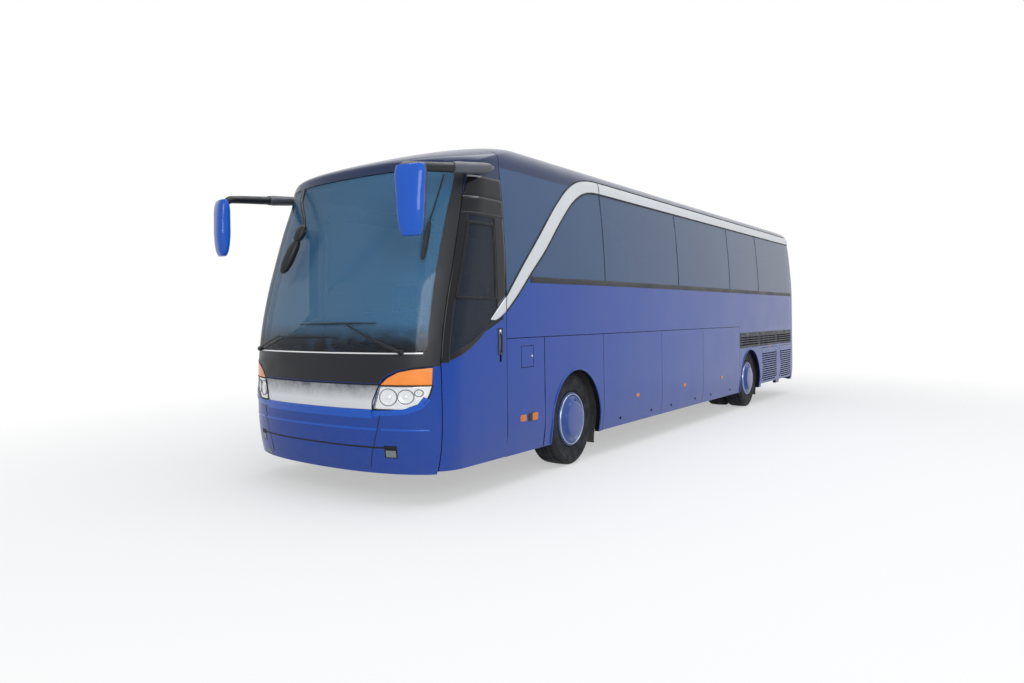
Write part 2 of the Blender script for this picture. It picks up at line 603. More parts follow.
# Wheel arches: each opening's edge is rolled into a slim bright-blue lip.
ARCHES = ((0.031, 0.476, 0.588), (WHEELBASE - 0.014, 0.423, 0.607))
LIP_OUT, LIP_FOOT, ARCH_LIP = 0.008, 0.31, (0.022, 0.006)
arch_lips = []
for side in (LEFT, RIGHT):
    for centre, height, radius in ARCHES:
        turn = np.linspace(0, math.pi, 60)
        path = [(centre + radius + LIP_OUT, LIP_FOOT)]
        path += [(centre + (radius + LIP_OUT) * c, height + (radius + LIP_OUT) * s)
                 for c, s in zip(np.cos(turn), np.sin(turn))]
        path.append((centre - radius - LIP_OUT, LIP_FOOT))
        arch_lips.append(band(path, *ARCH_LIP, on_side(side), 110))
grids_object("arch_lips", arch_lips, "root", coach_blue)

# Door frames: gloss black round each front door's glass, wider below where it follows the sweep of the
# strip, and the sliding pane's frame in the driver's window.
LOWER_EDGE = [(-2.44, 1.262), (-2.384, 1.278), (-2.23, 1.324), (-2.069, 1.39), (-1.936, 1.468),
              (-1.799, 1.557), (-1.728, 1.625), (-1.60, 1.76), (-1.479, 1.87)]
GLASS_EDGE = [(-2.40, 1.318), (-2.30, 1.360), (-2.18, 1.402), (-2.05, 1.452), (-1.93, 1.512),
              (-1.80, 1.580), (-1.70, 1.655), (-1.60, 1.765), (-1.53, 1.90)]
POST_FRONT, POST_BACK, BAR_BACK = -1.65, -1.475, -1.476
HEAD_LOW, HEAD_TOP, BAR_AT, TRANSOM_BAR = 2.60, 2.783, 2.622, (0.022, 0.004)
for side, door in ((LEFT, "driver_door"), (RIGHT, "front_door")):
    skin = on_side(side)
    frames = [patch(LOWER_EDGE, GLASS_EDGE, 0.0012, skin, 40)]
    frames.append(patch(beside_edge(1.262, 2.775, 0.005), beside_edge(1.262, 2.775, 0.080), 0.0013, skin, 60))
    frames.append(patch([(POST_FRONT, 1.75), (POST_FRONT, 2.62)], [(POST_BACK, 1.86), (POST_BACK, 2.62)],
                        0.0014, skin, 40))
    frames.append(patch([(door_front(HEAD_LOW) + 0.005, HEAD_LOW), (POST_BACK, HEAD_LOW)],
                        [(door_front(HEAD_TOP) + 0.005, HEAD_TOP), (POST_BACK, HEAD_TOP)], 0.0015, skin, 40))
    grids_object(door + "_black_frame", frames, door, gloss_black)
    bars = [band([(door_front(BAR_AT) + 0.012, BAR_AT), (BAR_BACK, BAR_AT)], *TRANSOM_BAR, skin, 24)]
    grids_object(door + "_transom_bar", bars, door, belt_dark)
SLIDE_LOW, SLIDE_TOP, SLIDE_BACK, RAIL_RISE = 1.835, 2.530, -1.660, 0.005
skin = on_side(LEFT)
front_rail = beside_edge(SLIDE_LOW, SLIDE_TOP, 0.092)
rails = [band([(SLIDE_BACK, SLIDE_LOW), (SLIDE_BACK, SLIDE_TOP)], 0.034, RAIL_RISE, skin, 16),
         band([(SLIDE_BACK, SLIDE_TOP), front_rail[-1]], 0.034, RAIL_RISE, skin, 16),
         band(front_rail, 0.030, RAIL_RISE, skin, 24),
         band([front_rail[0], (SLIDE_BACK, SLIDE_LOW)], 0.024, RAIL_RISE, skin, 16)]
grids_object("sliding_pane_frame", rails, "driver_door", seal_black)
PANE_LOW, PANE_TOP = 2.787, 2.985
low_corners = [(door_front(PANE_LOW) + 0.012, PANE_LOW), (BAR_BACK, PANE_LOW)]
top_corners = [(door_front(PANE_TOP) + 0.020, PANE_TOP), (BAR_BACK, PANE_TOP)]
panes = [patch(low_corners, top_corners, 0.0015, on_side(side), 40) for side in (LEFT, RIGHT)]
grids_object("quarter_panes", panes, "root", gloss_black)

# Bumper: a seam on each side, a shaded groove across with fog lamp pockets at its ends, a crease, and a
# bright lip that turns up under the silver band.
BUMPER_SEAM = [(0.782, 0.850), (0.760, 0.760), (0.740, 0.672), (0.705, 0.540), (0.675, 0.442), (0.654, 0.330)]
GROOVE_AT, GROOVE_END, GROOVE = 0.513, 0.73, (0.016, 0.0012)
LAMP_LINES = (([(-0.01, 1.0735), (0.765, 1.0735)], 0.016, 0.004, 60),
              ([(0.765, 1.066), (1.166, 1.066)], 0.009, 0.0035, 50),
              ([(0.703, 0.850), (0.703, 0.92), (0.735, 1.0), (0.765, 1.07)], 0.012, 0.0045, 40),
              ([(0.766, 1.073), (0.79, 1.096), (0.834, 1.145), (0.923, 1.196), (1.044, 1.222),
                (1.168, 1.234)], 0.010, 0.003, 50),
              ([(0.703, 0.851), (0.990, 0.850), (1.075, 0.874), (1.122, 0.918), (1.151, 0.980),
                (1.168, 1.065)], 0.009, 0.003, 50))
seams = [band(mirrored(side, BUMPER_SEAM), 0.007, 0.0012, on_front, 40) for side in (LEFT, RIGHT)]
seams.append(band([(-GROOVE_END, GROOVE_AT), (GROOVE_END, GROOVE_AT)], *GROOVE, on_front, 80))
for side in (LEFT, RIGHT):
    seams.append(band(mirrored(side, [(GROOVE_END, GROOVE_AT), (0.80, 0.516)]), *GROOVE, on_front, 10))
    seams.append(oblong(side * 0.795, side * 0.903, 0.425, 0.535, 0.0008, on_front, 16))
    for path, width, rise, count in LAMP_LINES:
        seams.append(band(mirrored(side, path), width, rise, on_front, count))
grids_object("bumper_seams", seams, "root", seal_black)
RIDGE = ((-1, -0.1), (-0.6, 0.3), (-0.2, 0.85), (0.1, 1), (0.5, 0.6), (1, -0.1))
LIP = ((-1, -0.05), (-0.7, 0.12), (-0.2, 0.42), (0.35, 0.85), (0.6, 1), (0.82, 0.85), (1, -0.05))
RIDGE_AT, RIDGE_WIDTH = 0.676, 0.020
LIP_SWEEP = [(0.70, 0.815), (0.79, 0.822), (0.98, 0.838), (1.09, 0.885), (1.135, 0.955)]
ridges = [band([(-0.70, 0.812), (0.70, 0.812)], 0.078, 0.020, on_front, 90, LIP)]
ridges.append(band([(-0.74, RIDGE_AT), (0.74, RIDGE_AT)], RIDGE_WIDTH, 0.0025, on_front, 80, RIDGE))
for side in (LEFT, RIGHT):
    outer_ridge = mirrored(side, [(0.777, RIDGE_AT), (1.148, RIDGE_AT)])
    ridges.append(band(outer_ridge, RIDGE_WIDTH, 0.0040, on_front, 50, RIDGE))
    ridges.append(band(mirrored(side, LIP_SWEEP), 0.050, 0.009, on_front, 60, LIP))
grids_object("bumper_lips", ridges, "root", bright_blue)
chrome = finish("chrome", (0.78, 0.79, 0.80), 0.08, mottle=6, spread=0.05, grain=60, depth=0.00003,
                Metallic=1.0)
foot_strip = band([(-1.10, 1.348), (1.10, 1.348)], 0.014, 0.004, on_front, 120)
grids_object("screen_foot_strip", [foot_strip], "root", chrome)
scuff_grey = finish("scuff_grey", (0.22, 0.23, 0.24), 0.8, mottle=40, spread=0.35, grain=300, depth=0.0006)
scuff = patch([(-0.86, 0.292), (-0.70, 0.290)], [(-0.80, 0.345), (-0.745, 0.350)], 0.0008, on_front, 12)
grids_object("bumper_scuff", [scuff], "root", scuff_grey)

# Front lamps: a clear lens over a silvered bowl with round reflectors, the amber indicator above it, and a
# square grey fog lamp in its pocket. The lens is a shell on the body's form; the bowl lies behind it.
lens_clear = finish("lens_clear", (0.90, 0.92, 0.94), 0.03, mottle=20, spread=0.05, grain=90, depth=0.0004,
                    stretch=(1, 1, 0.1), Alpha=0.22, Specular_IOR_Level=0.8)
lens_amber = finish("lens_amber", (0.90, 0.27, 0.05), 0.16, mottle=12, spread=0.10, grain=160, depth=0.0006,
                    stretch=(1, 1, 0.05), Specular_IOR_Level=0.35)
bowl_silver = finish("bowl_silver", (0.80, 0.82, 0.84), 0.18, mottle=9, spread=0.12, grain=60, depth=0.0005,
                     Metallic=0.9)
fog_grey = finish("fog_grey", (0.16, 0.18, 0.18), 0.35, mottle=20, spread=0.2, grain=200, depth=0.0003)
AMBER_LINE = [(0.766, 1.069), (0.79, 1.090), (0.834, 1.138), (0.923, 1.190), (1.044, 1.217), (1.165, 1.229)]
LAMP_LOW = [(0.706, 0.853), (0.990, 0.853), (1.073, 0.878), (1.119, 0.921), (1.147, 0.980), (1.165, 1.065)]


def dish(centre, radius, deep, rings=9, around=36):
    """A round reflector let into the front: a bowl whose depth falls with the square of its radius."""
    share = np.linspace(0.02, 1, rings)[:, None]
    turn = np.linspace(0, 2 * math.pi, around, endpoint=False)[None]
    points = on_front(centre[0] + radius * share * np.cos(turn), centre[1] + radius * share * np.sin(turn))
    normal = unit_normals(points)
    sign = -1 if normal[..., 1].mean() > 0 else 1
    moved = points + sign * normal * (-deep * (1 - share ** 2) + 0 * turn)[..., None]
    return (moved if sign > 0 else moved[:, ::-1], True)


def sunk(grid, deep):
    """The grid moved straight back into the front by deep."""
    return grid + np.array([0, deep, 0])


LAMP_TOP = [(0.762, 1.061), (0.86, 1.061), (0.96, 1.061), (1.05, 1.061), (1.11, 1.061), (1.160, 1.061)]
AMBER_FOOT = [(0.770, 1.071), (0.85, 1.071), (0.93, 1.071), (1.01, 1.071), (1.09, 1.071), (1.163, 1.071)]
REFLECTORS = (((0.835, 0.962), 0.074), ((0.978, 0.968), 0.062), ((1.074, 1.002), 0.030))
BOWL_DEEP, REFLECTOR_DEEP, BULB_PROUD, BULB_SHARE = 0.020, 0.010, 0.008, 0.34
REFLECTOR_SUNK, BEZEL_SUNK, BEZEL = 0.012, 0.014, (0.009, 0.004)
lenses, ambers, bowls, bulbs, rings = [], [], [], [], []
for side in (LEFT, RIGHT):
    low = [(across, height + 0.004) for across, height in mirrored(side, LAMP_LOW)]
    top = mirrored(side, LAMP_TOP)
    lenses.append(patch(low, top, 0.0005, on_front, 48, 14))
    bowls.append(sunk(patch(low, top, 0.0, on_front, 48, 14), BOWL_DEEP))
    for (across, height), radius in REFLECTORS:
        spot = (side * across, height)
        grid, closed = dish(spot, radius, REFLECTOR_DEEP)
        bowls.append((sunk(grid, REFLECTOR_SUNK), closed))
        grid, closed = dish(spot, radius * BULB_SHARE, -BULB_PROUD)
        bulbs.append((sunk(grid, REFLECTOR_SUNK), closed))
        turn = np.linspace(0, 2 * math.pi, 41)
        circle = [(spot[0] + radius * c, spot[1] + radius * s) for c, s in zip(np.cos(turn), np.sin(turn))]
        rings.append(sunk(band(circle, *BEZEL, on_front, 60), BEZEL_SUNK))
    upper = [(across, height - 0.008) for across, height in mirrored(side, AMBER_LINE)]
    ambers.append(patch(mirrored(side, AMBER_FOOT), upper, 0.0015, on_front, 40, 10))
grids_object("headlamp_lenses", lenses, "root", lens_clear)
grids_object("headlamp_bulbs", bulbs, "root", chrome)
grids_object("headlamp_bezels", rings, "root", seal_black)
bowl_piece = grids_object("headlamp_bowls", bowls, "root", bowl_silver)
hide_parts("front_lamps")
grids_object("indicator_lenses", ambers, "root", lens_amber)
fogs = [oblong(side * 0.806, side * 0.892, 0.432, 0.492, 0.0030, on_front, 16) for side in (LEFT, RIGHT)]
grids_object("fog_lamps", fogs, "root", fog_grey)

# Wheels: radial tyres with four grooves, cut shoulders and ribbed walls, on steel rims with a bright lip, a
# blue dish and a proud blue cover held by five screws. The rear twins have a cover on the outer wheel.
TYRE_RADIUS = 0.512
FRONT_TRACK, REAR_OUTER, TWIN_SPACING = 1.080, 1.075, 0.330
CUTS, CUT_DEEP, SHOULDER_OUT, SHOULDER_RADIUS = 66, 0.010, 0.082, 0.490
WALL = [(0.284, 0.094), (0.290, 0.104), (0.300, 0.110), (0.312, 0.118), (0.330, 0.127), (0.332, 0.1295),
        (0.340, 0.1300), (0.342, 0.1285), (0.370, 0.1375), (0.400, 0.1415), (0.425, 0.1420), (0.440, 0.1405),
        (0.442, 0.1425), (0.450, 0.1420), (0.452, 0.1390), (0.475, 0.1330), (0.492, 0.1270), (0.502, 0.1190)]
TREAD = [(0.5075, 0.106), (0.5085, 0.083), (0.4960, 0.080), (0.4960, 0.072), (0.5095, 0.069), (0.5110, 0.034),
         (0.4970, 0.031), (0.4970, 0.021), (0.5115, 0.018), (0.5120, 0.0)]


def turned(profile, at, place, steps=96, side=1):
    """A form turned round an axis across the coach: profile of (radius, distance out), at its x and y."""
    profile = np.asarray(profile, float)
    turn = np.linspace(0, 2 * math.pi, steps, endpoint=False)
    radius, out = profile[:, 0][:, None], profile[:, 1][:, None]
    points = np.stack([at + side * out + 0 * turn, place + AXLE_AT + radius * np.cos(turn),
                       TYRE_RADIUS + radius * np.sin(turn)], -1)
    return (points[:, ::-1] if side > 0 else points, True)


def tyre(at, place):
    """A tyre's whole section turned round, its shoulders cut by CUTS slots: of every four steps of the turn
    the last one's radius drops."""
    half = WALL + TREAD
    section = np.array([(r, -x) for r, x in half] + [(r, x) for r, x in reversed(half[:-1])])
    steps = CUTS * 4
    points, closed = turned(section, at, place, steps)
    points = points[:, ::-1]
    shoulder = (np.abs(section[:, 1]) > SHOULDER_OUT) & (section[:, 0] > SHOULDER_RADIUS)
    slot = (np.arange(steps) % 4 == 3)[None] & shoulder[:, None]
    axis = np.array([0, place + AXLE_AT, TYRE_RADIUS])
    shrink = np.where(slot, 1 - CUT_DEEP / TYRE_RADIUS, 1.0)[..., None]
    points[..., 1:] = axis[1:] + (points[..., 1:] - axis[1:]) * shrink
    return (points[:, ::-1], closed)


TYRE_DUST = (0.06, 0.06, 0.065)
tyre_rubber = dusted(finish("tyre_rubber", (0.010, 0.011, 0.014), 0.72, mottle=10, spread=0.15, grain=900,
                            depth=0.0003, Specular_IOR_Level=0.22), TYRE_DUST, 0.9, 0.20)
wheel_blue = dusted(finish("wheel_blue", (0.004, 0.050, 0.290), 0.32, mottle=6, spread=0.08, grain=400,
                           depth=0.00006, Coat_Weight=0.6, Coat_IOR=1.42, Specular_IOR_Level=0.15),
                    DUST, 1.9, 0.34)
lip_metal = finish("lip_metal", (0.30, 0.36, 0.50), 0.22, mottle=10, spread=0.12, grain=500, depth=0.00006,
                   Metallic=0.8)
COVER = [(0.0, 0.1880), (0.060, 0.1878), (0.120, 0.1865), (0.165, 0.1840), (0.188, 0.1815), (0.198, 0.1780),
         (0.203, 0.1710), (0.207, 0.1660), (0.222, 0.1520), (0.238, 0.1410), (0.249, 0.1370), (0.254, 0.1350),
         (0.257, 0.1310), (0.262, 0.1290), (0.266, 0.1270)]
BRIGHT_LIP = [(0.2660, 0.1270), (0.2700, 0.1400), (0.2745, 0.1460), (0.2800, 0.1465), (0.2850, 0.1410),
              (0.2890, 0.1290), (0.2905, 0.1120)]
SCREWS, SCREW_CIRCLE, TWINS = 5, 0.246, (REAR_OUTER, REAR_OUTER - TWIN_SPACING)
SCREW = [(0.0, 0.1430), (0.0045, 0.1425), (0.0065, 0.1400), (0.0068, 0.1350)]
for node, body, side, place, centres in (
        ("front_tyre_left", "wheel_front_left", LEFT, 0.0, (FRONT_TRACK,)),
        ("front_tyre_right", "wheel_front_right", RIGHT, 0.0, (FRONT_TRACK,)),
        ("rear_tyres_left", "wheels_rear_left", LEFT, WHEELBASE, TWINS),
        ("rear_tyres_right", "wheels_rear_right", RIGHT, WHEELBASE, TWINS)):
    piece = grids_object(node + "_rubber", [tyre(side * centre, place) for centre in centres], body,
                         tyre_rubber)
    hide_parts(node)
    outer = side * centres[0]
    grids_object(node + "_lip", [turned(BRIGHT_LIP, outer, place, 96, side)], body, lip_metal)
    covers = [turned(COVER, outer, place, 96, side)]
    for number in range(SCREWS):
        turn = 2 * math.pi * (number + 0.5) / SCREWS
        screw = turned(SCREW, outer, place, 12, side)[0]
        covers.append((screw + SCREW_CIRCLE * np.array([0, math.cos(turn), math.sin(turn)]), True))
    grids_object(node + "_cover", covers, body, wheel_blue)
rim_steel = dusted(finish("rim_steel", (0.010, 0.050, 0.220), 0.35, mottle=6, spread=0.1, grain=400,
                          depth=0.0001), DUST, 1.3, 0.3)


def finished(node, material):
    """A CAD node that keeps its own mesh and takes a finish."""
    nodes[node].data.materials.clear()
    nodes[node].data.materials.append(material)


for node in ("front_rim_left", "front_rim_right", "rear_rims_left", "rear_rims_right"):
    finished(node, rim_steel)

# Mirrors: lofted blue shells with a black rim and a silvered face to the rear, on long black arms whose
# root is a grey boot, and two slim black heads that hang before the screen.
arm_black = finish("arm_black", (0.012, 0.013, 0.016), 0.40, mottle=8, spread=0.15, grain=900, depth=0.0002,
                   Specular_IOR_Level=0.3)
boot_grey = finish("boot_grey", (0.060, 0.068, 0.085), 0.45, mottle=8, spread=0.12, grain=900, depth=0.0002)
mirror_silver = finish("mirror_silver", (0.80, 0.82, 0.85), 0.02, mottle=5, spread=0.03, grain=40,
                       depth=0.00001, Metallic=1.0)
HOUSING_SHARE, REAR_FACING, HEAD_CREASE = 0.64, 0.80, math.radians(30)
heads = merged_copy("mirror_shells", "mirror_heads")
heads.data.set_sharp_from_angle(angle=HEAD_CREASE)
for material in (bright_blue, arm_black, mirror_silver):
    heads.data.materials.append(material)
along = face_vectors(heads.data, "center")[:, 1]
choice = np.where((along - along.min()) / np.ptp(along) > HOUSING_SHARE, 1, 0)
choice[face_vectors(heads.data, "normal")[:, 1] > REAR_FACING] = 2
heads.data.polygons.foreach_set("material_index", choice.astype(np.int32))
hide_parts("mirror_heads")
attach(heads, "root")


def tube(path, radii, steps=16, count=40):
    """A tube through a path of points, its radius running between the radii, closed by small end rings. The
    frame is carried along the path without twist."""
    line = resampled(path, count)
    way = np.gradient(line, axis=0)
    way /= np.linalg.norm(way, axis=1, keepdims=True)
    first = np.cross(way[0], (0.0, 0.0, 1.0) if abs(way[0, 2]) < 0.9 else (1.0, 0.0, 0.0))
    normals = [first / np.linalg.norm(first)]
    for step in way[1:]:
        turned_on = normals[-1] - step * normals[-1].dot(step)
        normals.append(turned_on / np.linalg.norm(turned_on))
    normals = np.array(normals)
    across = np.cross(way, normals)
    share = np.linspace(0, 1, count)
    radius = np.interp(share, np.linspace(0, 1, len(radii)), radii)
    turn = np.linspace(0, 2 * math.pi, steps, endpoint=False)
    ring = normals[:, None] * np.cos(turn)[None, :, None] + across[:, None] * np.sin(turn)[None, :, None]
    points = line[:, None] + ring * radius[:, None, None]
    ends = [line[:1, None] + 0 * points[:1], points, line[-1:, None] + 0 * points[-1:]]
    return (np.concatenate(ends)[:, ::-1], True)


def pod(centre, half, power=2.6, lean=(0.0, 0.0), rows=18, steps=28):
    """A closed rounded form: a superellipsoid of the half sizes, leaning by shares of its height."""
    up = np.linspace(-math.pi / 2, math.pi / 2, rows)[:, None]
    turn = np.linspace(0, 2 * math.pi, steps, endpoint=False)[None]

    def eased(value):
        return np.sign(value) * np.abs(value) ** (2 / power)

    x = half[0] * eased(np.cos(up)) * eased(np.cos(turn))
    y = half[1] * eased(np.cos(up)) * eased(np.sin(turn))
    z = half[2] * eased(np.sin(up)) + 0 * turn
    points = np.stack([x + lean[0] * z, y + lean[1] * z, z], -1) + np.asarray(centre, float)
    return (points, True)


ARM_PATH = ((1.300, -1.790, 3.050), (1.262, -2.10, 3.012), (1.225, -2.40, 2.978), (1.190, -2.70, 2.948),
            (1.172, -2.90, 2.925), (1.180, -2.955, 2.870), (1.200, -2.950, 2.790))
ARM_RADII = (0.040, 0.044, 0.046, 0.044, 0.042, 0.040, 0.036)
BOOT_PATH = ((1.308, -1.735, 3.052), (1.270, -2.04, 3.017), (1.238, -2.30, 2.990))
BOOT_RADII = (0.020, 0.046, 0.052, 0.053, 0.054, 0.054, 0.056, 0.050)
arms, boots = [], []
for side in (LEFT, RIGHT):
    flip = np.array([side, 1, 1])
    seat = np.array([0, AXLE_AT, 0])
    arms.append(tube([flip * point + seat for point in np.array(ARM_PATH)], ARM_RADII, 20, 60))
    boots.append(tube([flip * point + seat for point in np.array(BOOT_PATH)], BOOT_RADII, 24, 48))
arm_piece = grids_object("mirror_arm_tubes", arms, "root", arm_black)
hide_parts("mirror_arms")
grids_object("mirror_arm_boots", boots, "root", boot_grey)


def before_screen(across, height, stand):
    """A point ahead of the windscreen by stand."""
    return on_front(np.array(across), np.array(height)) - np.array([0, stand, 0])


def screen_tube(points, radii, steps, count):
    """A tube before the windscreen through points of distance across, height and stand."""
    return tube([before_screen(*point) for point in points], radii, steps, count)


KERB_ARM = ((-0.66, 3.02, 0.02), (-0.52, 2.86, 0.10), (-0.36, 2.66, 0.12), (-0.30, 2.52, 0.12))
KERB_LINK = ((-0.34, 2.56, 0.12), (-0.44, 2.42, 0.12))
SLIM_ARM = ((1.03, 2.99, 0.01), (1.035, 2.80, 0.035), (1.02, 2.55, 0.04))
kerb = [screen_tube(KERB_ARM, (0.022, 0.019, 0.016), 16, 40),
        screen_tube(KERB_LINK, (0.014, 0.014), 12, 8),
        pod(before_screen(-0.36, 2.52, 0.13), (0.060, 0.045, 0.085), lean=(0.2, 0.3)),
        pod(before_screen(-0.44, 2.29, 0.13), (0.066, 0.050, 0.170), lean=(0.32, 0.3)),
        screen_tube(SLIM_ARM, (0.007, 0.007), 10, 24),
        pod(before_screen(1.025, 2.36, 0.045), (0.018, 0.030, 0.185), lean=(0.0, 0.3))]
grids_object("kerb_mirrors", kerb, "root", arm_black)

# Wipers: two arms that rise from covered pivots at the screen's foot, each with its blade and rubber.
PIVOT_STAND, PIVOT_COVER, ARM_STAND, ARM_DIP, BLADE_STAND = 0.020, (0.030, 0.024, 0.024), 0.040, 0.008, 0.026
ARM_ROUND, BLADE_ROUND = (0.016, 0.013, 0.009, 0.007), (0.003, 0.008, 0.010, 0.008, 0.003)
RUBBER_ROUND, RUBBER_BEHIND = (0.003, 0.004, 0.004, 0.003), (0, 0.014, -0.002)


def between(first, last, share):
    """The point at a share of the way from the first to the last."""
    return [start + share * (end - start) for start, end in zip(first, last)]


wiper_grids = []
for pivot, knee, ends in (((0.948, 1.362), (0.409, 1.611), ((-0.199, 1.615), (0.708, 1.618))),
                          ((-0.930, 1.362), (-0.480, 1.500), ((-0.519, 1.497), (0.288, 1.493)))):
    wiper_grids.append(pod(before_screen(*pivot, PIVOT_STAND), PIVOT_COVER))
    path = [before_screen(*between(pivot, knee, share), ARM_STAND - ARM_DIP * share)
            for share in np.linspace(0, 1, 7)]
    wiper_grids.append(tube(path, ARM_ROUND, 12, 40))
    blade = [before_screen(*between(*ends, share), BLADE_STAND) for share in np.linspace(0, 1, 13)]
    wiper_grids.append(tube(blade, BLADE_ROUND, 10, 60))
    wiper_grids.append(tube([point + np.array(RUBBER_BEHIND) for point in blade], RUBBER_ROUND, 8, 60))
wipers = grids_object("wiper_set", wiper_grids, "root", arm_black)
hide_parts("wipers")

# Small fittings on the sides: amber side lamps, a door handle in its pocket, locks on flaps and doors.
lens_small = finish("lens_small", (0.56, 0.16, 0.03), 0.25, mottle=30, spread=0.1, grain=500, depth=0.0004,
                    Specular_IOR_Level=0.3)


def side_pod(place, height, half, side, proud):
    """A pod that sits on the side's skin, as far out as proud."""
    out = float(side_x(np.array(place), np.array(height), side))
    return pod((out + side * (proud - half[0]), place + AXLE_AT, height), half, 4.0, rows=12, steps=20)


MARKER_AT, FLAP_LAMP, FLAP_LAMP_PROUD = 0.640, (0.010, 0.052, 0.024), 0.008
HIGH_LAMP, HIGH_LAMP_AT, HIGH_LAMP_PLACES = (0.008, 0.045, 0.012), 1.045, (8.2, 9.6)
FLAP_LOCK, FLAP_LOCK_AT, FLAP_LOCK_SPREAD = (0.006, 0.016, 0.016), 0.40, 0.5
ENGINE_LOCK, ENGINE_LOCK_IN = (0.006, 0.017, 0.017), 0.06
for side in (LEFT, RIGHT):
    name = "left" if side == LEFT else "right"
    bases = [side_pod(-0.985, 0.646, (0.014, 0.090, 0.046), side, 0.010)]
    lights = [side_pod(-1.172, 0.648, (0.010, 0.060, 0.034), side, 0.008),
              side_pod(-0.950, 0.646, (0.010, 0.060, 0.040), side, 0.014)]
    lights += [side_pod(place, HIGH_LAMP_AT, HIGH_LAMP, side, 0.006) for place in HIGH_LAMP_PLACES]
    grids_object(name + "_marker_bases", bases, "root", arm_black)
    grids_object(name + "_side_markers", lights, "root", lens_small)
for body, place, side in (("left_flap_1", 1.713, LEFT), ("left_flap_2", 3.452, LEFT),
                          ("left_flap_3", 5.192, LEFT), ("right_flap_1", 1.713, RIGHT),
                          ("right_flap_2", 5.192, RIGHT)):
    light = side_pod(place, MARKER_AT, FLAP_LAMP, side, FLAP_LAMP_PROUD)
    grids_object(body + "_marker", [light], body, lens_small)
    locks = [side_pod(lock, FLAP_LOCK_AT, FLAP_LOCK, side, 0.003)
             for lock in (place - FLAP_LOCK_SPREAD, place + FLAP_LOCK_SPREAD)]
    grids_object(body + "_locks", locks, body, seam_black)
for body, front, back in (("engine_door_1", 7.660, 8.740), ("engine_door_2", 8.990, 9.880)):
    locks = [side_pod(place, height, ENGINE_LOCK, LEFT, 0.004) for height in (0.42, 0.98)
             for place in (front + ENGINE_LOCK_IN, back - ENGINE_LOCK_IN)]
    grids_object(body + "_locks", locks, body, lip_metal)
pocket_grey = finish("pocket_grey", (0.085, 0.110, 0.170), 0.45, mottle=14, spread=0.15, grain=600,
                     depth=0.0001)
POCKET_FRONT, POCKET_BACK, POCKET_LOW, POCKET_TOP, HANDLE_AT = -1.622, -1.550, 1.30, 1.55, -1.586
GRIP = ((-0.002, 1.315), (0.014, 1.335), (0.018, 1.41), (0.014, 1.485), (-0.002, 1.500))
rim = [(POCKET_FRONT, POCKET_LOW), (POCKET_BACK, POCKET_LOW), (POCKET_BACK, POCKET_TOP),
       (POCKET_FRONT, POCKET_TOP), (POCKET_FRONT, POCKET_LOW)]
for side, door in ((LEFT, "driver_door"), (RIGHT, "front_door")):
    skin = on_side(side)
    pocket = oblong(POCKET_FRONT, POCKET_BACK, POCKET_LOW, POCKET_TOP, 0.0012, skin, 12)
    grids_object(door + "_handle_pocket", [pocket], door, pocket_grey)
    edges = [band([rim[k], rim[k + 1]], 0.009, 0.004, skin, 12) for k in range(4)]
    skin_x = float(side_x(np.array(HANDLE_AT), np.array(1.42), side))
    grip = [(skin_x + side * out, AXLE_AT + HANDLE_AT, height) for out, height in GRIP]
    edges.append(tube(grip, (0.008, 0.009, 0.009, 0.008), 12, 30))
    grids_object(door + "_handle", edges, door, arm_black)
    lock = side_pod(HANDLE_AT, 1.525, (0.006, 0.013, 0.013), side, 0.005)
    grids_object(door + "_lock", [lock], door, chrome)
lock = side_pod(-0.985, 1.262, (0.005, 0.011, 0.011), LEFT, 0.003)
grids_object("filler_lock", [lock], "filler_flap", chrome)

# Screens behind the louvres and the engine doors' slots: black wire cloth that keeps leaves out.
LOUVRE_LOW, LOUVRE_TOP, LOUVRE_FRONT, LOUVRE_BACK, CLOTH_BEHIND = 1.075, 1.335, 6.265, 9.875, -0.046
SLOTS_LOW, SLOTS_TOP, DOOR_CLOTH_BEHIND = 0.41, 0.98, -0.034
mesh_black = finish("mesh_black", (0.006, 0.007, 0.009), 0.75, mottle=5, spread=0.2, grain=350, depth=0.002,
                    Specular_IOR_Level=0.15)
screens = [oblong(LOUVRE_FRONT, LOUVRE_BACK, LOUVRE_LOW, LOUVRE_TOP, CLOTH_BEHIND, on_side(side), 60)
           for side in (LEFT, RIGHT)]
grids_object("louvre_screens", screens, "root", mesh_black)
for body, front, back in (("engine_door_1", 7.70, 8.70), ("engine_door_2", 9.03, 9.84)):
    sheet = oblong(front, back, SLOTS_LOW, SLOTS_TOP, DOOR_CLOTH_BEHIND, on_side(LEFT), 30)
    grids_object(body + "_screen", [sheet], body, mesh_black)

# Tail: round red and amber lamps in their black columns, a blank plate, reflectors, and locks on the lid.
lens_red = finish("lens_red", (0.50, 0.010, 0.012), 0.12, mottle=20, spread=0.12, grain=240, depth=0.0005,
                  Coat_Weight=1.0)
plate_white = finish("plate_white", (0.72, 0.72, 0.70), 0.35, mottle=12, spread=0.04, grain=900,
                     depth=0.00005)
finished("tail_lamps", gloss_black)


def tail_button(centre, radius, proud, rings=8, around=32):
    """A round lens on the tail: a dome whose height falls with the fourth power of its radius."""
    share = np.linspace(0.02, 1.0, rings)[:, None]
    turn = np.linspace(0, 2 * math.pi, around, endpoint=False)[None]
    points = on_tail(centre[0] + radius * share * np.cos(turn), centre[1] + radius * share * np.sin(turn))
    points[..., 1] += proud * (1 - share ** 4) + 0.001 - 0.002 * (share > 0.99)
    return (points, True)


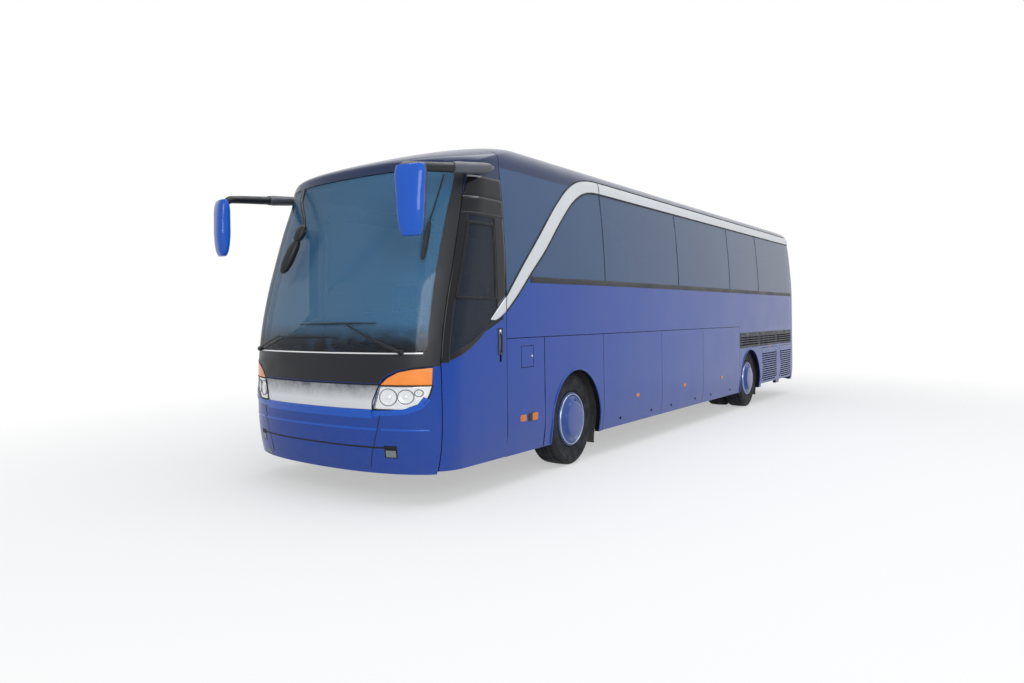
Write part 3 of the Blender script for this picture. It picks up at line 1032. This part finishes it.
LAMP_ACROSS, LENS_RADIUS, LENS_PROUD = 1.105, 0.060, 0.014
RED_LAMPS, AMBER_LAMP, CLEAR_LAMP = (0.955, 1.235, 1.515), 1.375, 1.095
PLATE_LOW, PLATE_TOP, PLATE_HALF, HOLDER = 0.46, 0.57, 0.26, (0.012, 0.008)
reds, yellows, clears = [], [], []
for side in (LEFT, RIGHT):
    for height in RED_LAMPS:
        reds.append(tail_button((side * LAMP_ACROSS, height), LENS_RADIUS, LENS_PROUD))
    yellows.append(tail_button((side * LAMP_ACROSS, AMBER_LAMP), LENS_RADIUS, LENS_PROUD))
    clears.append(tail_button((side * LAMP_ACROSS, CLEAR_LAMP), LENS_RADIUS, LENS_PROUD))
    reds.append(oblong(side * 0.80, side * 0.95, 0.60, 0.655, 0.006, on_tail, 12))
reds.append(oblong(-0.30, 0.30, 3.035, 3.070, 0.006, on_tail, 24))
grids_object("tail_lenses_red", reds, "root", lens_red)
grids_object("tail_lenses_amber", yellows, "root", lens_amber)
grids_object("tail_lenses_clear", clears, "root", bowl_silver)
plate = oblong(-PLATE_HALF, PLATE_HALF, PLATE_LOW, PLATE_TOP, 0.006, on_tail, 16)
grids_object("rear_plate", [plate], "root", plate_white)
tail_seams = [band([(-0.28, height), (0.28, height)], *HOLDER, on_tail, 12) for height in (0.445, 0.585)]
grids_object("rear_plate_holder", tail_seams, "root", seal_black)

# Seats: each cushion and back is a rounded block blown up as cloth by a light pressure, with sewn channels
# and piping pressed in after it. One cushion and one back are stuffed and set on every stand.
seat_cloth = finish("seat_cloth", (0.040, 0.075, 0.160), 0.92, mottle=55, spread=0.55, grain=1100,
                    depth=0.0008, Sheen_Weight=0.4, Sheen_Roughness=0.5, Specular_IOR_Level=0.2)
trim_grey = finish("trim_grey", (0.030, 0.033, 0.040), 0.55, mottle=12, spread=0.12, grain=800, depth=0.0002)
VOXEL, SWELL_CAP, PRESSURE, LAST_FRAME = 0.024, 0.024, 4.0, 20
SEAT_WIDTH, CUSHION_DEPTH, CUSHION_THICK, BACK_HEIGHT = 0.450, 0.470, 0.120, 0.720
BACK_LEAN = 0.150 / BACK_HEIGHT
CHANNELS, CHANNEL_SOFT, CHANNEL_DEEP = (-0.115, 0.115), 0.012, 0.010
HEAD_SEAM = 0.500


def stuffed(name, centre, half, lean):
    """Corners and faces of a stuffed form: the block remeshed, swollen by pressure without weight, and no
    corner moved further than the cap."""
    piece = grids_object(name, [pod(centre, half, 6.0, lean, 24, 40)])
    remesh = piece.modifiers.new("remesh", "REMESH")
    remesh.mode, remesh.voxel_size = "VOXEL", VOXEL
    applied(piece)
    count = len(piece.data.vertices)
    before = np.empty(count * 3, np.float32)
    piece.data.vertices.foreach_get("co", before)
    cloth = piece.modifiers.new("cloth", "CLOTH")
    cloth.settings.use_pressure = True
    cloth.settings.uniform_pressure_force = PRESSURE
    cloth.settings.effector_weights.gravity = 0
    for step in range(1, LAST_FRAME + 1):
        bpy.context.scene.frame_set(step)
    applied(piece)
    bpy.context.scene.frame_set(1)
    after = np.empty(count * 3, np.float32)
    piece.data.vertices.foreach_get("co", after)
    before, after = before.reshape(-1, 3), after.reshape(-1, 3)
    move = after - before
    length = np.linalg.norm(move, axis=1, keepdims=True) + 1e-9
    corners = before + move * np.minimum(SWELL_CAP / length, 1)
    faces = np.empty(len(piece.data.loops), np.int32)
    piece.data.loops.foreach_get("vertex_index", faces)
    bpy.data.objects.remove(piece)
    return corners.astype(float), faces.reshape(-1, 4)


def sewn(corners, middle, across, heights=()):
    """The corners pulled towards the form's middle plane where a channel runs: gaussian valleys at places
    across and at heights."""
    valley = sum(np.exp(-((corners[:, 0] - place) / CHANNEL_SOFT) ** 2) for place in across)
    valley = valley + sum(np.exp(-((corners[:, 2] - height) / CHANNEL_SOFT) ** 2) for height in heights)
    away = corners - middle(corners)
    length = np.linalg.norm(away, axis=1, keepdims=True) + 1e-9
    return corners - away / length * CHANNEL_DEEP * np.clip(valley, 0, 1)[:, None]


def cushion_middle(corners):
    """The point of the cushion's middle sheet under each corner."""
    return corners * np.array([1, 1, 0]) + np.array([0, 0, CUSHION_THICK / 2])


def back_middle(corners):
    """The point of the back's middle sheet beside each corner."""
    place = BACK_AT[1] + BACK_LEAN * (corners[:, 2] - BACK_AT[2])
    return np.stack([corners[:, 0], place, corners[:, 2]], -1)


BACK_AT = (0.0, CUSHION_DEPTH - 0.045 + 0.075, CUSHION_THICK + BACK_HEIGHT / 2)
cushion, cushion_faces = stuffed("cushion_form", (0, CUSHION_DEPTH / 2, CUSHION_THICK / 2),
                                 (0.207, 0.222, 0.046), (0.0, 0.0))
rest, rest_faces = stuffed("back_form", BACK_AT, (0.205, 0.036, 0.345), (0.0, BACK_LEAN))
cushion = sewn(cushion, cushion_middle, CHANNELS)
rest = sewn(rest, back_middle, CHANNELS, (CUSHION_THICK + HEAD_SEAM,))
narrow = 1 - 0.16 * np.clip((rest[:, 2] - CUSHION_THICK - HEAD_SEAM) / (BACK_HEIGHT - HEAD_SEAM), 0, 1) ** 2
rest[:, 0] *= narrow
wing = np.clip(np.abs(rest[:, 0]) / 0.205, 0, 1) ** 4 * np.clip((rest[:, 2] - 0.2) / 0.3, 0, 1)
rest[:, 1] -= 0.022 * wing
seat_corners = np.concatenate([cushion, rest])
seat_faces = np.concatenate([cushion_faces, rest_faces + len(cushion)])
FIRST_ROW, SEAT_PITCH, ROWS, AISLE_HALF, SEAT_GAP = -0.760, 0.800, 12, 0.265, 0.020
CUSHION_LOW = 1.310
DRIVER_AT, DRIVER_WIDTH, DRIVER_FRONT, DRIVER_LOW = 0.640, 0.500, -1.800, 1.310


def seats(name, places):
    """All the seats of a block as one mesh, from (x, y, z, share of width) of each."""
    corners = np.concatenate([seat_corners * np.array([width, 1, 1]) + np.array([x, y + AXLE_AT, z])
                              for x, y, z, width in places])
    faces = np.concatenate([seat_faces + number * len(seat_corners) for number in range(len(places))])
    piece = mesh_object(name, corners, faces, "root", seat_cloth)
    return piece


armrests = []
for side in (LEFT, RIGHT):
    places = []
    for row in range(ROWS):
        for number in (0, 1):
            middle = AISLE_HALF + SEAT_WIDTH / 2 + number * (SEAT_WIDTH + SEAT_GAP)
            places.append((side * middle, FIRST_ROW + row * SEAT_PITCH, CUSHION_LOW, 1.0))
        front = FIRST_ROW + row * SEAT_PITCH + AXLE_AT
        armrests.append(pod((side * (AISLE_HALF + 0.018), front + 0.26, CUSHION_LOW + 0.30),
                            (0.022, 0.17, 0.022), 4.0, rows=10, steps=16))
    block = seats("passenger_seats_" + ("left" if side == LEFT else "right"), places)
    if side == LEFT:
        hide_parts("seat_pads")
seats("driver_seat", [(DRIVER_AT, DRIVER_FRONT, DRIVER_LOW, DRIVER_WIDTH / SEAT_WIDTH)])
grids_object("armrests", armrests, "root", trim_grey)

# Cab: soft black dashboard with a hooded binnacle, dials, switches and a ticket desk, and a thick-rimmed
# steering wheel.
dash_black = finish("dash_black", (0.020, 0.026, 0.030), 0.60, mottle=10, spread=0.12, grain=900,
                    depth=0.0004)
dial_face = finish("dial_face", (0.55, 0.58, 0.60), 0.30, mottle=30, spread=0.1, grain=500, depth=0.0001)
wheel_grip = finish("wheel_grip", (0.014, 0.015, 0.018), 0.50, mottle=16, spread=0.12, grain=1500,
                    depth=0.0004)
DASH_BACK, DASH_TOP, BINNACLE_AT = -2.190, 1.400, 0.640
DIALS, DIAL_SQUASH, DIAL_LEAN = ((-0.15, 0.045), (-0.045, 0.060), (0.085, 0.060), (0.185, 0.040)), 0.72, 0.5
SWITCHES, SWITCH_STEP, SWITCH_AT, SWITCH_HALF = 9, 0.06, 1.245, (0.020, 0.010, 0.014)
dials, switches = [], []
for across, radius in DIALS:
    share = np.linspace(0.02, 1, 6)[:, None]
    turn = np.linspace(0, 2 * math.pi, 32, endpoint=False)[None]
    x = BINNACLE_AT + across + radius * share * np.cos(turn)
    z = DASH_TOP + 0.012 + radius * DIAL_SQUASH * share * np.sin(turn)
    dials.append((np.stack([x, DASH_BACK + 0.030 + AXLE_AT - (z - DASH_TOP) * DIAL_LEAN, z], -1)[:, ::-1],
                  True))
for number in range(SWITCHES):
    spot = (0.05 - SWITCH_STEP * number, DASH_BACK + AXLE_AT + 0.004, SWITCH_AT)
    switches.append(pod(spot, SWITCH_HALF, 5.0, rows=8, steps=12))
grids_object("dash_dials", dials, "root", dial_face)
grids_object("dash_switches", switches, "root", trim_grey)

# What shows through the glass and from below keeps its CAD form with a finish of its own: cloth-grained
# racks, a ribbed floor, and dusty black and grey castings under the floor.
rack_grey = finish("rack_grey", (0.16, 0.17, 0.18), 0.75, mottle=8, spread=0.08, grain=700, depth=0.0004)
floor_ribs = finish("floor_ribs", (0.060, 0.064, 0.070), 0.80, mottle=6, spread=0.15, grain=120, depth=0.002,
                    stretch=(1, 0.01, 1))
chassis_black = dusted(finish("chassis_black", (0.012, 0.012, 0.014), 0.60, mottle=7, spread=0.2, grain=260,
                              depth=0.0005), DUST, 1.4, 0.5)
cast_grey = dusted(finish("cast_grey", (0.055, 0.055, 0.058), 0.62, mottle=9, spread=0.2, grain=320,
                          depth=0.0008, Metallic=0.5), DUST, 1.3, 0.6)
bay_board = finish("bay_board", (0.085, 0.088, 0.092), 0.80, mottle=10, spread=0.15, grain=420, depth=0.0004)
tank_black = dusted(finish("tank_black", (0.014, 0.015, 0.017), 0.45, mottle=6, spread=0.15, grain=300,
                           depth=0.0003), DUST, 0.95, 0.7)
for material, names in ((dash_black, ("dashboard",)), (wheel_grip, ("steering_wheel",)),
                        (trim_grey, ("seat_stands", "front_door_arm", "mid_door_arm")),
                        (rack_grey, ("luggage_racks",)), (floor_ribs, ("cabin_floor",)),
                        (bay_board, ("luggage_bays",)), (tank_black, ("fuel_tank",)),
                        (chassis_black, ("underframe", "wheel_liners")),
                        (cast_grey, ("front_axle_beam", "knuckle_left", "knuckle_right", "tie_rod",
                                     "rear_axle", "engine_block"))):
    for node in names:
        finished(node, material)

# Camera: it stands where the picture was taken, ahead of the coach on its left, at eye height. The numbers
# come from a fit of the wheels, seams and roof line, and the picture's middle lies right of the lens axis.
CAMERA_AT = Vector((5.0141, AXLE_AT - 7.694, 1.6451))
YAW, PITCH, ROLL = 0.7431, -0.0022, -0.0122
FOCAL_PX, CENTRE_PX = 735.89, (355.64, 321.85)
WIDTH_PX, HEIGHT_PX = 1024, 683
SENSOR = 36.0
ahead = Vector((-math.sin(YAW) * math.cos(PITCH), math.cos(YAW) * math.cos(PITCH), math.sin(PITCH)))
level_right = Vector((math.cos(YAW), math.sin(YAW), 0))
level_up = level_right.cross(ahead)
right = math.cos(ROLL) * level_right + math.sin(ROLL) * level_up
above = math.cos(ROLL) * level_up - math.sin(ROLL) * level_right
camera_data = bpy.data.cameras.new("camera")
camera_data.sensor_width = SENSOR
camera_data.lens = FOCAL_PX / WIDTH_PX * SENSOR
camera_data.shift_x = (WIDTH_PX / 2 - CENTRE_PX[0]) / WIDTH_PX
camera_data.shift_y = (CENTRE_PX[1] - HEIGHT_PX / 2) / WIDTH_PX
camera_data.clip_end = 400
camera = bpy.data.objects.new("camera", camera_data)
camera.matrix_world = Matrix.Translation(CAMERA_AT) @ Matrix((right, above, -ahead)).transposed().to_4x4()
bpy.context.scene.collection.objects.link(camera)
bpy.context.scene.camera = camera

# Studio: a pale floor that fades to white away from the coach, a white room for camera, mirror and glass
# rays, and two broad lamps overhead and from the side that the camera sees.
FLOOR_REACH, FADE_FROM, FADE_TO, NEAR_GLOW, ALONG_SHARE = 90.0, 3.0, 9.0, 0.45, 0.62
corners_of_floor = np.meshgrid([-FLOOR_REACH, FLOOR_REACH], [-FLOOR_REACH, FLOOR_REACH], indexing="ij")
floor = grids_object("floor", [np.stack([*corners_of_floor, np.zeros((2, 2))], -1)[:, ::-1]])
floor_finish = finish("studio_floor", (0.80, 0.81, 0.82), 0.7, mottle=0.6, spread=0.01)
floor.data.materials.append(floor_finish)


def seen_share(tree):
    """One for camera, mirror and glass rays, and nothing for the light that falls on things."""
    path = tree.nodes.new("ShaderNodeLightPath")
    total = path.outputs["Is Camera Ray"]
    for name in ("Is Glossy Ray", "Is Transmission Ray"):
        most = tree.nodes.new("ShaderNodeMath")
        most.operation = "MAXIMUM"
        tree.links.new(total, most.inputs[0])
        tree.links.new(path.outputs[name], most.inputs[1])
        total = most.outputs[0]
    return total


tree = floor_finish.node_tree
place = tree.nodes.new("ShaderNodeTexCoord").outputs["Object"]
flattened = tree.nodes.new("ShaderNodeMapping")
flattened.inputs["Scale"].default_value = (1.0, ALONG_SHARE, 0.0)
tree.links.new(place, flattened.inputs["Vector"])
distance = tree.nodes.new("ShaderNodeVectorMath")
distance.operation = "LENGTH"
tree.links.new(flattened.outputs["Vector"], distance.inputs[0])
fade = tree.nodes.new("ShaderNodeMapRange")
fade.interpolation_type = "SMOOTHSTEP"
fade.inputs["From Min"].default_value, fade.inputs["From Max"].default_value = FADE_FROM, FADE_TO
fade.inputs["To Min"].default_value = NEAR_GLOW
tree.links.new(distance.outputs["Value"], fade.inputs["Value"])
glow = tree.nodes.new("ShaderNodeEmission")
glow.inputs["Color"].default_value = (1, 1, 1, 1)
mix = tree.nodes.new("ShaderNodeMixShader")
tree.links.new(product(tree, seen_share(tree), fade.outputs["Result"]), mix.inputs[0])
tree.links.new(tree.nodes["Principled BSDF"].outputs[0], mix.inputs[1])
tree.links.new(glow.outputs[0], mix.inputs[2])
tree.links.new(mix.outputs[0], tree.nodes["Material Output"].inputs["Surface"])

world = bpy.data.worlds.new("studio")
bpy.context.scene.world = world
world.use_nodes = True
tree = world.node_tree
soft = tree.nodes["Background"]
soft.inputs["Color"].default_value = (0.93, 0.96, 1.0, 1)
soft.inputs["Strength"].default_value = 0.50
white = tree.nodes.new("ShaderNodeBackground")
white.inputs["Color"].default_value = (1, 1, 1, 1)
white.inputs["Strength"].default_value = 1.0
mix = tree.nodes.new("ShaderNodeMixShader")
tree.links.new(seen_share(tree), mix.inputs[0])
tree.links.new(soft.outputs[0], mix.inputs[1])
tree.links.new(white.outputs[0], mix.inputs[2])
tree.links.new(mix.outputs[0], tree.nodes["World Output"].inputs["Surface"])


def lamp(name, place, aim, size, power):
    """A square soft box at a place, turned to its aim, with its power in watts."""
    data = bpy.data.lights.new(name, "AREA")
    data.shape, data.size, data.energy = "SQUARE", size, power
    light = bpy.data.objects.new(name, data)
    light.location = place
    light.rotation_euler = (Vector(aim) - Vector(place)).to_track_quat("-Z", "Y").to_euler()
    bpy.context.scene.collection.objects.link(light)


lamp("overhead", (2.0, -1.0, 12.0), (0, 0, 1.5), 12.0, 1100)
lamp("front_left", (11.0, -15.0, 6.0), (0, -2.0, 1.5), 7.0, 900)

bpy.context.scene.view_settings.view_transform = "Standard"
